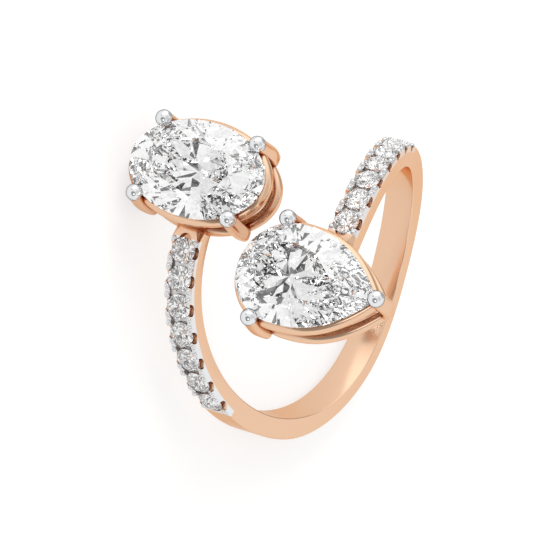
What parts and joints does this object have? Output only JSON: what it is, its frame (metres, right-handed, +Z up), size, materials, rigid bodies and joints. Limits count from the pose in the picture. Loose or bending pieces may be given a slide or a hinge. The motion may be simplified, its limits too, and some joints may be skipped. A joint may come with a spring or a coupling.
{
  "type": "toi et moi ring",
  "caption": "Open crossover ring in rose gold with an oval and a pear stone side by side, and small stones set along the outside of both arms.",
  "frame": {"origin": "middle of the ring's box on the surface that it lies on", "axes": "+Z up from that surface, -Y towards the two heads, +X towards the left arm's side, with the ring lying on its side"},
  "size_m": [0.0192, 0.0236, 0.0184],
  "materials": {
    "rose_gold": "polished rose gold, with white plating on the balls and on the posts of the small stones",
    "diamond": "clear cut diamond, polished facets"
  },
  "bodies": {
    "root": {"ring_frame": "rose_gold", "oval_stone": "diamond", "pear_stone": "diamond", "pave_left_1": "diamond", "pave_left_2": "diamond", "pave_left_3": "diamond", "pave_left_4": "diamond", "pave_left_5": "diamond", "pave_left_6": "diamond", "pave_left_7": "diamond", "pave_right_1": "diamond", "pave_right_2": "diamond", "pave_right_3": "diamond", "pave_right_4": "diamond", "pave_right_5": "diamond", "pave_right_6": "diamond", "pave_right_7": "diamond"}
  },
  "joints": []
}
